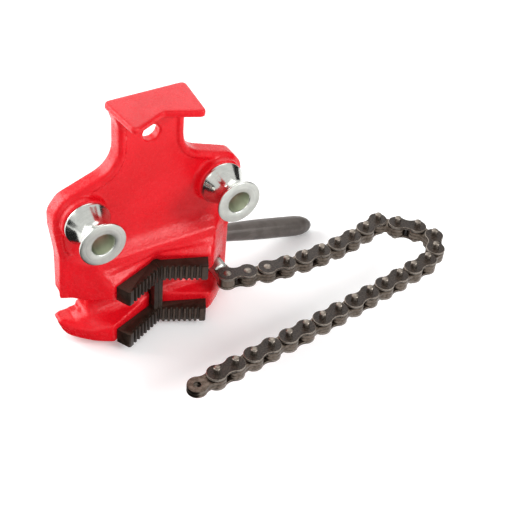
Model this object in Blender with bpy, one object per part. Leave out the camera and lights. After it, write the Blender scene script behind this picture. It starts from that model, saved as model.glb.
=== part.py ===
"""Bottom-screw bench chain vise, standing on end with its chain laid out.

Axes: +X to the right, +Y to the back, +Z up, in metres.
The origin lies on the casting's flat back, midway between the two bench bolts.
The pipe would stand upright in the vee, so every chain pin is upright too.
"""
import math

import bmesh
import bpy
from mathutils import Matrix, Vector

# Running gap left between pieces that touch on the real vise.
GAP = 0.0003

# Casting: a thick plate with a pipe rest on top and a vee block below.
PLATE_THICK = 0.014
PLATE_EDGE = 0.0035
BACK_EDGE = 0.0012
RIM_RISE = 0.0018
RIM_WIDE = 0.0050
TOP_RISE = 0.0794
BASE_DROP = 0.1075
NECK_HALF = 0.0248
REST_HALF = 0.0263
REST_BACK_HALF = 0.0303
SHOULDER_HALF = 0.0732
HIP_LEFT_IN = 0.0037
HIP_RIGHT_IN = 0.0067
FOOT_ROUND = 0.009
SHOULDER_IN = 0.0077
SHOULDER_LOW = 0.0062
SHOULDER_HIGH = 0.0165
NECK_ROOT_RISE = 0.0315
NECK_TOP_DROP = 0.0149
WAIST_DROP = 0.006
HIP_DROP = 0.032
SHOULDER_ROUND = 0.012
NECK_ROUND = 0.021
NECK_TOP_ROUND = 0.012
FACE_ROUND = 0.012
HIP_ROUND = 0.030
REST_ROUND = 0.0032

# Pipe rest: the flange on top, with a vee across its front edge.
REST_THICK = 0.0052
REST_REACH = 0.0395
REST_VEE_DEPTH = 0.0115
REST_EDGE = 0.0013
REST_FILLET = 0.007

# Hanging hole in the neck, and the shallow pocket behind it that leaves a web.
HANG_HOLE_RADIUS = 0.0064
HANG_SINK_RADIUS = 0.0071
HANG_SINK_DEPTH = 0.0008
HANG_HOLE_DROP = 0.0267
NECK_WEB = 0.0083
NECK_POCKET_WALL = 0.0075
NECK_POCKET_FOOT = 0.0025
NECK_POCKET_ROUND = 0.0055
NECK_POCKET_FILLET = 0.0020

# Bench bolts and the two bender spools they pass through.
SPOOL_IN = 0.0212
SPOOL_RADIUS = 0.0167
SPOOL_WAIST = 0.0112
SPOOL_LENGTH = 0.0254
SPOOL_RIM = 0.0020
SPOOL_SKEW = 0.75
SPOOL_BORE = 0.0083
SPOOL_CHAMFER = 0.0009
SPIGOT_RADIUS = 0.0110
SPIGOT_LENGTH = 0.0095
BOSS_REACH = 0.020
BOSS_RADIUS = 0.0176
BOSS_SKIRT = 0.0030
BOSS_EDGE = 0.0010

# Toothed jaws: an upper and a lower bar on each side, joined by a web.
JAW_TALL = 0.0540
JAW_BAR_TALL = 0.0125
CHAIN_LIFT = 0.0025
JAW_HALF = 0.0315
JAW_THICK = 0.0122
JAW_SLOPE = math.radians(25.5)
JAW_APEX_REACH = 0.0287
JAW_LAND = 0.0030
JAW_TOOTH_DEPTH = 0.0019
JAW_TEETH = 8
JAW_NOSE = 0.0010
TOOTH_SHARES = (0.16, 0.46, 0.62, 1.0)
WEB_HALF = 0.0034
WEB_SETBACK = 0.0016
TONGUE_REACH = 0.0105
SEAT_REACH = 0.0193
SEAT_SLOPE = math.radians(20.6)

# Vee block of the casting behind the jaws.
RIDGE_RISE = 0.0145
RIDGE_REACH = 0.0242
RIDGE_IN = 0.0185
SLOPE_TOP_RISE = 0.0280
BLOCK_IN = 0.0255
FLANK_START = 0.0130
BLOCK_INSET = 0.0020
RISE_SHARES = (0.0, 0.5, 0.8, 1.0)
REACH_SHARES = (0.0, 0.6, 0.92, 1.0)
SLOPE_RISE_SHARES = (0.10, 0.28, 1.0)
SLOPE_REACH_SHARES = (0.03, 0.18, 1.0)
CHANNEL_HALF_TALL = 0.0125
CHANNEL_BACK = 0.0170
CHANNEL_STEPS = 8

# Shelf of the casting under the jaws, and its lip under the hook slot.
SHELF_TALL = 0.0155
SHELF_EDGE = 0.0020
SHELF_SIDE_IN = 0.0065
SHELF_SIDE_REACH = 0.0205
SHELF_MID_IN = 0.0160
SHELF_MID_REACH = 0.0290
SHELF_DRAFT = 0.0050
HOOK_TIP = 0.0020

# Jaw screws, put in from the back.
JAW_SCREW_OUT = 0.020
JAW_SCREW_RADIUS = 0.0031
JAW_SCREW_BITE = 0.0075
SCREW_HEAD_RADIUS = 0.0050
SCREW_HEAD_TALL = 0.0060
SCREW_SOCKET_RADIUS = 0.0028
SCREW_SOCKET_DEPTH = 0.0030
SCREW_SINK = 0.0008

# Hook slot on the left, where the chain's long pins catch.
SLOT_HIGH = 0.0075
SLOT_LOW = 0.0092
SLOT_MOUTH_LOW = 0.0134
SLOT_LIP_FAR = 0.0090
SLOT_LIP_NEAR = 0.0125
SLOT_END_IN = 0.0175
SLOT_ROUND = 0.0050
PIN_POCKET_DEPTH = 0.0075
PIN_POCKET_HALF = 0.0125
PIN_POCKET_IN = 0.0150

# Chain screw, which draws the chain to the back.
SCREW_RADIUS = 0.0062
SCREW_EYE_REACH = 0.0375
SCREW_END = 0.0440
THREAD_START = 0.0015
THREAD_LEAD = 0.00254
THREAD_DEPTH = 0.0008
EYE_RADIUS = 0.0070
EYE_HALF_TALL = 0.0030
EYE_NECK = 0.0095
KEYWAY_HALF = 0.0023
KEYWAY_DEPTH = 0.0018
KEYWAY_FRONT = 0.0185
KEYWAY_BACK = 0.0045
SCREW_BOSS_RADIUS = 0.0140
SCREW_BOSS_REACH = 0.0070
GUIDE_PIN_RADIUS = 0.0020
GUIDE_PIN_SINK = 0.0010
STOP_PIN_RADIUS = 0.0015
STOP_PIN_LENGTH = 0.0190
STOP_PIN_BACK = 0.0040

# Handle nut on the screw's threaded end, with its thrust washer.
WASHER_RADIUS = 0.0130
WASHER_THICK = 0.0020
HUB_RADIUS = 0.0125
HUB_LENGTH = 0.0165
HUB_EDGE = 0.0020
HANDLE_LENGTH = 0.118
HANDLE_NECK_RADIUS = 0.0068
HANDLE_GRIP_RADIUS = 0.0085
HANDLE_SWELL_SHARE = 0.7
HANDLE_DROOP = math.radians(14.5)

# Leaf chain: riveted outer links and leaf packs, pin to pin.
PITCH = 0.015875
LINK_COUNT = 28
LINK_HALF_WIDE = 0.0074
LINK_WAIST = 0.0052
LINK_WAIST_ANGLE = math.radians(20.0)
PACK_HALF_TALL = 0.0030
LEAF_GROOVE = 0.0005
PLATE_TALL = 0.0020
PIN_RADIUS = 0.0025
PIN_PLAY = 0.00003
PIN_REACH = 0.0051
RIVET_REACH = 0.0005
SHORT_PINS = 3

# How the chain lies: the first heading, a slow bow, the turn, and a long run back.
FIRST_HEADING = math.radians(-14.0)
BOW_STEP = math.radians(3.8)
BOW_LINKS = 9
TURN_STEPS = tuple(math.radians(a) for a in (-57.6, -1.4, -27.3, -53.8, -27.5, -18.7))
RUN_BACK_STEP = math.radians(-0.3)

# Facets: how finely the round shapes are cut.
ROUND_STEPS = 3
SPOOL_SIDES = 28
SPOOL_STEPS = 6
BORE_SIDES = 24
SMALL_SIDES = 10
SCREW_SIDES = 28
HANDLE_SIDES = 16
HANDLE_STEPS = 9
LINK_STEPS = 7
EYE_STEPS = 10
OVERCUT = 0.004
WELD = 0.000005

# Derived places.
HIP_LEFT = SHOULDER_HALF - HIP_LEFT_IN
HIP_RIGHT = SHOULDER_HALF - HIP_RIGHT_IN
SPOOL_SPACING = (SHOULDER_HALF - SPOOL_IN) * 2
RIDGE_HALF = HIP_RIGHT - RIDGE_IN
BLOCK_HALF = HIP_RIGHT - BLOCK_IN
SLOT_END = HIP_LEFT - SLOT_END_IN
PLATE_FRONT = -PLATE_THICK
FACE_FRONT = RIM_RISE - PLATE_THICK
SEAT_FRONT = -BOSS_REACH
BASE_Z = -BASE_DROP
CHAIN_Z = BASE_Z + JAW_TALL / 2 + CHAIN_LIFT
JAW_TOP = BASE_Z + JAW_TALL
BAR_LOW_TOP = BASE_Z + JAW_BAR_TALL
SHELF_TOP = BASE_Z + SHELF_TALL
BAR_HIGH_BASE = JAW_TOP - JAW_BAR_TALL
SCREW_X = SPOOL_SPACING / 2
WASHER_FRONT = SCREW_BOSS_REACH + GAP
HUB_FRONT = WASHER_FRONT + WASHER_THICK + GAP
HANDLE_Y = HUB_FRONT + HUB_LENGTH / 2
PIN_HEAD = PACK_HALF_TALL + GAP + PLATE_TALL
PIN_BORE = (PIN_RADIUS + PIN_PLAY) / math.cos(math.pi / SMALL_SIDES)

# Colours and finishes: red, green, blue, then roughness and metallic.
RED_PAINT = (0.68, 0.012, 0.020, 0.34, 0.0)
ZINC_PLATE = (0.60, 0.61, 0.59, 0.24, 1.0)
BLACK_OXIDE = (0.045, 0.034, 0.028, 0.42, 0.6)
CHAIN_STEEL = (0.11, 0.095, 0.085, 0.38, 0.9)
LEAF_STEEL = (0.22, 0.19, 0.165, 0.36, 0.9)
FORGED_STEEL = (0.060, 0.052, 0.047, 0.48, 0.5)
BLACK_SCREW = (0.030, 0.030, 0.032, 0.38, 0.7)


def clear_scene():
    """Remove every object that the open file holds."""
    for item in list(bpy.data.objects):
        bpy.data.objects.remove(item, do_unlink=True)


def finish_material(name, finish):
    """A Principled material with one colour, roughness and metallic value."""
    material = bpy.data.materials.new(name)
    material.use_nodes = True
    shader = material.node_tree.nodes["Principled BSDF"]
    red, green, blue, roughness, metallic = finish
    shader.inputs["Base Color"].default_value = (red, green, blue, 1.0)
    shader.inputs["Roughness"].default_value = roughness
    shader.inputs["Metallic"].default_value = metallic
    material.diffuse_color = (red, green, blue, 1.0)
    return material


def rounded_loop(corners, inset):
    """Points round a counter-clockwise outline, moved in by inset.

    Each corner is (x, y, radius, steps). A radius of zero keeps the corner sharp.
    """
    points = []
    count = len(corners)
    for i, (x, y, radius, steps) in enumerate(corners):
        before = corners[i - 1]
        after = corners[(i + 1) % count]
        here = Vector((x, y))
        into = (here - Vector(before[:2])).normalized()
        out = (Vector(after[:2]) - here).normalized()
        turn = math.atan2(into.x * out.y - into.y * out.x, into.dot(out))
        outward = Vector((into.y, -into.x))
        if radius == 0:
            miter = (outward + Vector((out.y, -out.x))).normalized()
            points.append(here - miter * (inset / max(miter.dot(outward), 0.2)))
            continue
        side = 1 if turn > 0 else -1
        start = here - into * radius * math.tan(abs(turn) / 2)
        centre = start - outward * radius * side
        first = math.atan2(outward.y * side, outward.x * side)
        reach = radius - inset * side
        for k in range(steps + 1):
            angle = first + turn * k / steps
            points.append(centre + Vector((math.cos(angle), math.sin(angle))) * reach)
    return points


def bridge(bm, low, high):
    """Faces between two rings of equal count."""
    count = len(low)
    for i in range(count):
        j = (i + 1) % count
        bm.faces.new((low[i], low[j], high[j], high[i]))


def stack(bm, rings):
    """A closed solid through rings of points, with a face on each end."""
    made = [[bm.verts.new(point) for point in ring] for ring in rings]
    for low, high in zip(made, made[1:]):
        bridge(bm, low, high)
    bm.faces.new(list(reversed(made[0])))
    bm.faces.new(made[-1])


def slab_rings(corners, low, high, low_edge, high_edge, place, inset=0):
    """Rings for an inset outline thickened from low to high, with rounded edges."""
    rings = []
    for k in range(ROUND_STEPS + 1):
        angle = math.pi / 2 * k / ROUND_STEPS
        level = low + low_edge * (1 - math.cos(angle))
        loop = rounded_loop(corners, inset + low_edge * (1 - math.sin(angle)))
        rings.append([place(x, y, level) for x, y in loop])
        if low_edge == 0:
            break
    for k in range(ROUND_STEPS, -1, -1):
        if high_edge == 0 and k < ROUND_STEPS:
            break
        angle = math.pi / 2 * k / ROUND_STEPS
        level = high - high_edge * (1 - math.cos(angle))
        loop = rounded_loop(corners, inset + high_edge * (1 - math.sin(angle)))
        rings.append([place(x, y, level) for x, y in loop])
    return rings


def upright(x, y, level):
    """A plan point at a height."""
    return Vector((x, y, level))


def facing(x, z, level):
    """A front-view point at a depth."""
    return Vector((x, level, z))


def spin(bm, profile, sides, place, closed):
    """Turn a profile of (radius, along) round an axis. A radius of zero is a point."""
    rings = []
    for radius, along in profile:
        if radius == 0:
            rings.append([bm.verts.new(place(0.0, 0.0, along))])
            continue
        ring = []
        for k in range(sides):
            angle = 2 * math.pi * k / sides
            ring.append(bm.verts.new(place(radius * math.cos(angle), radius * math.sin(angle), along)))
        rings.append(ring)
    pairs = list(zip(rings, rings[1:]))
    if closed:
        pairs.append((rings[-1], rings[0]))
    for low, high in pairs:
        if len(low) == 1:
            for i in range(sides):
                bm.faces.new((low[0], high[(i + 1) % sides], high[i]))
        elif len(high) == 1:
            for i in range(sides):
                bm.faces.new((low[i], low[(i + 1) % sides], high[0]))
        else:
            bridge(bm, low, high)


def along_y(x, z, along):
    """Axis to the back."""
    return Vector((x, along, z))


def along_z(x, y, along):
    """Axis up."""
    return Vector((x, y, along))


def along_x(y, z, along):
    """Axis to the right."""
    return Vector((along, y, z))


def new_object(name, bm):
    """Link a mesh object whose faces all point outward."""
    bmesh.ops.recalc_face_normals(bm, faces=bm.faces)
    mesh = bpy.data.meshes.new(name)
    bm.to_mesh(mesh)
    bm.free()
    item = bpy.data.objects.new(name, mesh)
    bpy.context.scene.collection.objects.link(item)
    return item


def solid(name, rings):
    """An object stacked from rings."""
    bm = bmesh.new()
    stack(bm, rings)
    return new_object(name, bm)


def turned(name, profile, sides, place=along_y, closed=False):
    """An object turned from a profile."""
    bm = bmesh.new()
    spin(bm, profile, sides, place, closed)
    return new_object(name, bm)


def rod(name, radius, low, high, sides, place, centre):
    """A plain round bar, used as a cutter or a small pin."""
    item = turned(name, ((0, low), (radius, low), (radius, high), (0, high)), sides, place)
    item.data.transform(Matrix.Translation(centre))
    return item


def block(name, low, high):
    """A box between two corners."""
    corners = ((low.x, low.y), (high.x, low.y), (high.x, high.y), (low.x, high.y))
    return solid(name, [[Vector((x, y, z)) for x, y in corners] for z in (low.z, high.z)])


def combine(target, tools, operation):
    """Join or cut the target with all the tools in one step, then drop the tools."""
    group = bpy.data.collections.new("tools")
    bpy.context.scene.collection.children.link(group)
    for tool in tools:
        group.objects.link(tool)
    modifier = target.modifiers.new(operation.title(), "BOOLEAN")
    modifier.operation = operation
    modifier.solver = "EXACT"
    modifier.operand_type = "COLLECTION"
    modifier.collection = group
    bpy.context.view_layer.update()
    graph = bpy.context.evaluated_depsgraph_get()
    mesh = bpy.data.meshes.new_from_object(target.evaluated_get(graph))
    target.modifiers.clear()
    target.data = mesh
    for tool in tools:
        bpy.data.objects.remove(tool, do_unlink=True)
    bpy.data.collections.remove(group)
    return target


def split_faces(items):
    """Split every face into triangles, so that later joins meet only flat faces."""
    for item in items:
        bm = bmesh.new()
        bm.from_mesh(item.data)
        bmesh.ops.triangulate(bm, faces=bm.faces)
        bm.to_mesh(item.data)
        bm.free()
    return items


def weld(item):
    """Weld points that all but coincide."""
    bm = bmesh.new()
    bm.from_mesh(item.data)
    bmesh.ops.remove_doubles(bm, verts=bm.verts, dist=WELD)
    bm.to_mesh(item.data)
    bm.free()
    return item


def dress(item, material, smooth_angle):
    """Give an object its material and shade its gentle edges smooth."""
    item.data.materials.clear()
    item.data.materials.append(material)
    bm = bmesh.new()
    bm.from_mesh(item.data)
    bmesh.ops.triangulate(bm, faces=bm.faces)
    for face in bm.faces:
        face.smooth = True
    for edge in bm.edges:
        edge.smooth = edge.calc_face_angle(0) < smooth_angle
    bm.to_mesh(item.data)
    bm.free()
    return item


def flank_corners(hip):
    """The casting's side from the hip up to the neck."""
    steps = ROUND_STEPS + 1
    return [
        (hip, -HIP_DROP, HIP_ROUND, ROUND_STEPS),
        (SHOULDER_HALF, -WAIST_DROP, HIP_ROUND, ROUND_STEPS),
        (SHOULDER_HALF, SHOULDER_LOW, SHOULDER_ROUND, steps),
        (SHOULDER_HALF - SHOULDER_IN, SHOULDER_HIGH, SHOULDER_ROUND, steps),
        (NECK_HALF, NECK_ROOT_RISE, NECK_ROUND, steps + 2),
    ]


def mirrored(corners):
    """The same corners on the left, in the order that keeps the outline counter-clockwise."""
    return [(-x, z, radius, steps) for x, z, radius, steps in reversed(corners)]


def make_plate():
    """The casting's main plate, with a low rim round its front."""
    steps = ROUND_STEPS + 1
    under = TOP_RISE - REST_THICK
    top = [
        (NECK_HALF, TOP_RISE - NECK_TOP_DROP, NECK_TOP_ROUND, ROUND_STEPS),
        (REST_BACK_HALF - REST_EDGE, under + REST_THICK / 2, PLATE_EDGE + REST_EDGE, ROUND_STEPS),
    ]
    right = [(HIP_RIGHT, BASE_Z, FOOT_ROUND, steps)] + flank_corners(HIP_RIGHT) + top
    left = [(HIP_LEFT, BASE_Z, FOOT_ROUND, steps)] + flank_corners(HIP_LEFT) + top
    around = right + mirrored(left)
    plate = solid("casting", slab_rings(around, PLATE_FRONT, 0, PLATE_EDGE, BACK_EDGE, facing))
    foot = -HIP_DROP - OVERCUT
    right = [(HIP_RIGHT, foot, FACE_ROUND, steps)] + flank_corners(HIP_RIGHT)[1:]
    left = [(HIP_LEFT, foot, FACE_ROUND, steps)] + flank_corners(HIP_LEFT)[1:]
    top = [(NECK_HALF, under + REST_EDGE, FACE_ROUND, steps)]
    face = slab_rings(right + top + mirrored(left + top), PLATE_FRONT - OVERCUT, FACE_FRONT, 0, RIM_RISE,
                      facing, RIM_WIDE)
    plate, hollow = split_faces([plate, solid("face", face)])
    return combine(plate, [hollow], "DIFFERENCE")


def make_rest():
    """The pipe rest flange and the fillet under it."""
    corners = [
        (-REST_BACK_HALF, -GAP, REST_ROUND, ROUND_STEPS),
        (-REST_HALF, -REST_REACH, REST_ROUND, ROUND_STEPS),
        (0, REST_VEE_DEPTH - REST_REACH, REST_ROUND, ROUND_STEPS),
        (REST_HALF, -REST_REACH, REST_ROUND, ROUND_STEPS),
        (REST_BACK_HALF, -GAP, REST_ROUND, ROUND_STEPS),
    ]
    rest = solid("rest", slab_rings(corners, TOP_RISE - REST_THICK, TOP_RISE, REST_EDGE, REST_EDGE, upright))
    under = TOP_RISE - REST_THICK
    inside = PLATE_FRONT / 2
    profile = [(inside, under + REST_EDGE), (PLATE_FRONT - REST_FILLET, under + REST_EDGE)]
    for k in range(ROUND_STEPS + 2):
        angle = math.pi / 2 * k / (ROUND_STEPS + 1)
        profile.append((FACE_FRONT - REST_FILLET * (1 - math.sin(angle)),
                        under - REST_FILLET * (1 - math.cos(angle))))
    profile.append((inside, under - REST_FILLET))
    side = NECK_HALF - PLATE_EDGE
    fillet = solid("fillet", [[Vector((x, y, z)) for y, z in profile] for x in (-side, side)])
    return [rest, fillet]


def block_ring(level, half, front, apex):
    """One plan section of the block that backs the jaws."""
    back = PLATE_FRONT / 2
    side = max(-FLANK_START, front + BLOCK_INSET)
    left = HIP_LEFT - RIM_WIDE + GAP
    right = HIP_RIGHT - RIM_WIDE + GAP
    corners = [
        (-left, back, 0, 0),
        (-left, side, BLOCK_INSET, ROUND_STEPS),
        (-half, front, BLOCK_INSET, ROUND_STEPS),
        (0, apex, 0, 0),
        (half, front, BLOCK_INSET, ROUND_STEPS),
        (right, side, BLOCK_INSET, ROUND_STEPS),
        (right, back, 0, 0),
    ]
    return [Vector((x, y, level)) for x, y in rounded_loop(corners, 0)]


def seat_line(x):
    """Where the casting's jaw seat lies at a distance from the centre."""
    return -SEAT_REACH - abs(x) * math.tan(SEAT_SLOPE)


def make_block():
    """The block that carries the jaws, sloping back into the plate above them."""
    front = seat_line(BLOCK_HALF)
    apex = seat_line(0)
    crest = -RIDGE_REACH
    near = FACE_FRONT + BLOCK_INSET
    rings = [block_ring(BAR_LOW_TOP - BLOCK_INSET, BLOCK_HALF, front, apex)]
    for rise, reach in zip(RISE_SHARES, REACH_SHARES):
        rings.append(block_ring(JAW_TOP + GAP + (RIDGE_RISE - GAP) * rise,
                                BLOCK_HALF + (RIDGE_HALF - BLOCK_HALF) * rise,
                                front + (crest - front) * reach,
                                apex + (crest - apex) * reach))
    for rise, reach in zip(SLOPE_RISE_SHARES, SLOPE_REACH_SHARES):
        level = JAW_TOP + RIDGE_RISE + (SLOPE_TOP_RISE - RIDGE_RISE) * rise
        depth = crest + (near - crest) * reach
        rings.append(block_ring(level, RIDGE_HALF, depth, depth - GAP))
    return solid("block", rings)


def shelf_corners(draft):
    """The shelf's plan outline, its outer sides moved in by the draft."""
    wide = SHELF_EDGE * 2

    def half(hip):
        """Corners of one side, from the front to the back."""
        return [
            (BLOCK_HALF, seat_line(BLOCK_HALF) + GAP / 3, wide, ROUND_STEPS),
            (hip - SHELF_MID_IN, -SHELF_MID_REACH, wide, ROUND_STEPS),
            (hip - SHELF_SIDE_IN, -SHELF_SIDE_REACH, wide, ROUND_STEPS),
            (hip, -FLANK_START, wide, ROUND_STEPS),
            (hip, -GAP, 0, 0),
        ]

    centre = [(0, seat_line(0) + GAP / 3, wide, ROUND_STEPS)]
    return centre + half(HIP_RIGHT - GAP - draft / 2) + mirrored(half(HIP_LEFT + HOOK_TIP - draft))


def make_shelf():
    """The shelf that carries the lower jaw bars, rounded in plan and drawn in below."""
    rings = []
    edge = SHELF_EDGE / 2
    for level, inset, draft in (
        (BASE_Z, SHELF_EDGE, SHELF_DRAFT),
        (BASE_Z + SHELF_EDGE / 3, SHELF_EDGE / 3, SHELF_DRAFT),
        (BASE_Z + SHELF_EDGE, 0, SHELF_DRAFT),
        (SHELF_TOP - edge, 0, 0),
        (SHELF_TOP, edge, 0),
    ):
        rings.append([Vector((x, y, level)) for x, y in rounded_loop(shelf_corners(draft), inset)])
    return solid("shelf", rings)


def make_bosses():
    """The two spool bosses in front and the screw boss behind."""
    bosses = []
    inside = PLATE_FRONT / 2
    for side in (-1, 1):
        profile = [(0, inside), (BOSS_RADIUS + BOSS_SKIRT, inside)]
        for k in range(ROUND_STEPS + 2):
            angle = math.pi / 2 * k / (ROUND_STEPS + 1)
            profile.append((BOSS_RADIUS + BOSS_SKIRT * (1 - math.sin(angle)),
                            FACE_FRONT + GAP - BOSS_SKIRT * (1 - math.cos(angle))))
        profile += [(BOSS_RADIUS, SEAT_FRONT + BOSS_EDGE), (BOSS_RADIUS - BOSS_EDGE, SEAT_FRONT),
                    (0, SEAT_FRONT)]
        boss = turned("boss", profile, SPOOL_SIDES)
        boss.data.transform(Matrix.Translation((side * SPOOL_SPACING / 2, 0, 0)))
        bosses.append(boss)
    profile = (
        (0, inside),
        (SCREW_BOSS_RADIUS + BOSS_SKIRT / 2, inside),
        (SCREW_BOSS_RADIUS + BOSS_SKIRT / 2, GAP),
        (SCREW_BOSS_RADIUS, BOSS_SKIRT / 2),
        (SCREW_BOSS_RADIUS, SCREW_BOSS_REACH - BOSS_EDGE),
        (SCREW_BOSS_RADIUS - BOSS_EDGE, SCREW_BOSS_REACH),
        (0, SCREW_BOSS_REACH),
    )
    boss = turned("boss", profile, SPOOL_SIDES)
    boss.data.transform(Matrix.Translation((SCREW_X - BOSS_SKIRT / 2, 0, CHAIN_Z)))
    return bosses + [boss]


def make_slot_cutters(front, back):
    """The hook slot's open-sided cut and the pocket behind it for a chain pin."""
    outside = -HIP_LEFT - HOOK_TIP - OVERCUT
    steps = ROUND_STEPS
    slot = [
        (outside, -SLOT_MOUTH_LOW, 0, 0),
        (SLOT_LIP_FAR - HIP_LEFT, -SLOT_MOUTH_LOW, BLOCK_INSET, steps),
        (SLOT_LIP_NEAR - HIP_LEFT, -SLOT_LOW, BLOCK_INSET, steps),
        (-SLOT_END, -SLOT_LOW, SLOT_ROUND / 2, steps),
        (-SLOT_END, SLOT_HIGH, SLOT_ROUND, steps),
        (outside, SLOT_HIGH, 0, 0),
    ]
    loop = [(x, z + CHAIN_Z) for x, z in rounded_loop(slot, 0)]
    cut = solid("slot", [[facing(x, z, y) for x, z in loop] for y in (front, back)])
    low = Vector((outside, -PIN_POCKET_DEPTH, CHAIN_Z - PIN_POCKET_HALF))
    high = Vector((PIN_POCKET_IN - HIP_LEFT, back + OVERCUT, CHAIN_Z + PIN_POCKET_HALF))
    return [cut, block("pocket", low, high)]


def make_channel():
    """The hollow way across the block for the chain, rounded at its back."""
    middle = seat_line(BLOCK_HALF) - OVERCUT
    depth = -CHANNEL_BACK - middle
    profile = [(middle * 2, -CHANNEL_HALF_TALL)]
    for k in range(CHANNEL_STEPS + 1):
        angle = math.pi * k / CHANNEL_STEPS
        profile.append((middle + depth * math.sin(angle), -CHANNEL_HALF_TALL * math.cos(angle)))
    profile.append((middle * 2, CHANNEL_HALF_TALL))
    wide = SHOULDER_HALF + OVERCUT
    return solid("channel", [[Vector((x, y, z + CHAIN_Z)) for y, z in profile] for x in (-wide, wide)])


def make_neck_pocket(back):
    """The pocket cored into the neck's back, behind the hanging hole."""
    half = NECK_HALF - NECK_POCKET_WALL
    low = NECK_ROOT_RISE + NECK_POCKET_FOOT
    high = TOP_RISE - REST_THICK - NECK_POCKET_WALL
    corners = [(x, z, NECK_POCKET_ROUND, ROUND_STEPS + 1)
               for x, z in ((-half, low), (half, low), (half, high), (-half, high))]
    return solid("neck_pocket", slab_rings(corners, FACE_FRONT + NECK_WEB, back, NECK_POCKET_FILLET, 0,
                                           facing))


def make_casting():
    """The whole painted casting, joined and then bored."""
    pieces = make_rest() + [make_block(), make_shelf()] + make_bosses()
    casting = combine(make_plate(), split_faces(pieces), "UNION")
    front = -(SCREW_EYE_REACH + EYE_RADIUS + OVERCUT)
    back = SCREW_BOSS_REACH + OVERCUT
    cutters = []
    for side in (-1, 1):
        cutters.append(turned("bore", (
            (0, back),
            (SPOOL_BORE + GAP, back),
            (SPOOL_BORE + GAP, SEAT_FRONT + SPIGOT_LENGTH + GAP),
            (SPIGOT_RADIUS + GAP, SEAT_FRONT + SPIGOT_LENGTH + GAP),
            (SPIGOT_RADIUS + GAP, front),
            (0, front),
        ), BORE_SIDES))
        cutters[-1].data.transform(Matrix.Translation((side * SPOOL_SPACING / 2, 0, 0)))
    cutters.append(turned("hang", (
        (0, back),
        (HANG_HOLE_RADIUS, back),
        (HANG_HOLE_RADIUS, FACE_FRONT + HANG_SINK_DEPTH),
        (HANG_SINK_RADIUS, FACE_FRONT - GAP),
        (HANG_SINK_RADIUS, PLATE_FRONT - REST_FILLET),
        (0, PLATE_FRONT - REST_FILLET),
    ), BORE_SIDES))
    cutters[-1].data.transform(Matrix.Translation((0, 0, TOP_RISE - HANG_HOLE_DROP)))
    cutters.append(make_neck_pocket(back))
    cutters.append(make_channel())
    cutters.append(block("tongue", Vector((-WEB_HALF - GAP, front, BASE_Z - OVERCUT)),
                         Vector((WEB_HALF + GAP, -TONGUE_REACH, JAW_TOP + GAP))))
    cutters += make_slot_cutters(front, back)
    cutters.append(rod("way", SCREW_RADIUS + GAP, front, back, BORE_SIDES, along_y,
                       Vector((SCREW_X, 0, CHAIN_Z))))
    for centre in jaw_screw_places():
        cutters.append(rod("screw_way", JAW_SCREW_RADIUS + GAP, front, back, SMALL_SIDES, along_y, centre))
        cutters.append(rod("head_way", SCREW_HEAD_RADIUS + GAP, -SCREW_HEAD_TALL - SCREW_SINK - GAP, back,
                           SMALL_SIDES, along_y, centre))
    cutters.append(rod("guide_way", GUIDE_PIN_RADIUS + GAP, BASE_Z - OVERCUT, CHAIN_Z, SMALL_SIDES, along_z,
                       Vector((SCREW_X, PLATE_FRONT / 2, 0))))
    return weld(combine(casting, split_faces(cutters), "DIFFERENCE"))


def jaw_screw_places():
    """Where the four jaw screws stand, on the casting's back."""
    low = BASE_Z + JAW_BAR_TALL / 2
    high = JAW_TOP - JAW_BAR_TALL / 2
    return [Vector((side * JAW_SCREW_OUT, 0, level)) for side in (-1, 1) for level in (low, high)]


def jaw_outline():
    """Plan outline of the right jaw: teeth to the front, tongue to the back."""
    out = Vector((math.cos(JAW_SLOPE), -math.sin(JAW_SLOPE)))
    back = Vector((-out.y, out.x))
    apex = Vector((GAP / 2, -JAW_APEX_REACH))
    length = (JAW_HALF - apex.x) / out.x
    pitch = (length - JAW_LAND) / JAW_TEETH
    end = apex + out * length
    heel = end + back * JAW_THICK
    outline = [apex]
    for tooth in range(JAW_TEETH):
        for share, depth in zip(TOOTH_SHARES, (JAW_TOOTH_DEPTH, JAW_TOOTH_DEPTH, 0, 0)):
            outline.append(apex + out * pitch * (tooth + share) + back * depth)
    outline += [
        end - out * JAW_NOSE,
        end + back * JAW_NOSE,
        Vector((heel.x, seat_line(heel.x) - GAP)),
        Vector((WEB_HALF, seat_line(WEB_HALF) - GAP)),
        Vector((WEB_HALF, -TONGUE_REACH - GAP)),
        Vector((GAP / 2, -TONGUE_REACH - GAP)),
    ]
    return outline


def make_jaw(side, name):
    """One jaw, with the window that the chain passes through and two tapped holes."""
    outline = [(point.x * side, point.y) for point in jaw_outline()]
    jaw = solid(name, [[Vector((x, y, z)) for x, y in outline] for z in (BASE_Z, JAW_TOP)])

    def way(near, far, back):
        """A cutter between the bars, from near to far on this jaw's side."""
        ends = sorted((near * side, far * side))
        return block("window", Vector((ends[0], -JAW_APEX_REACH * 2, BAR_LOW_TOP)),
                     Vector((ends[1], back, BAR_HIGH_BASE)))

    cutters = [way(WEB_HALF, JAW_HALF + JAW_THICK + OVERCUT, 0)]
    cutters.append(way(-OVERCUT, WEB_HALF + OVERCUT, WEB_SETBACK - JAW_APEX_REACH))
    for centre in jaw_screw_places():
        if centre.x * side > 0:
            cutters.append(rod("tapped", JAW_SCREW_RADIUS + GAP, jaw_bite() - GAP, 0, SMALL_SIDES, along_y,
                               centre))
    return combine(jaw, cutters, "DIFFERENCE")


def jaw_bite():
    """How far forward a jaw screw ends."""
    return seat_line(JAW_SCREW_OUT) - JAW_SCREW_BITE


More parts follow.
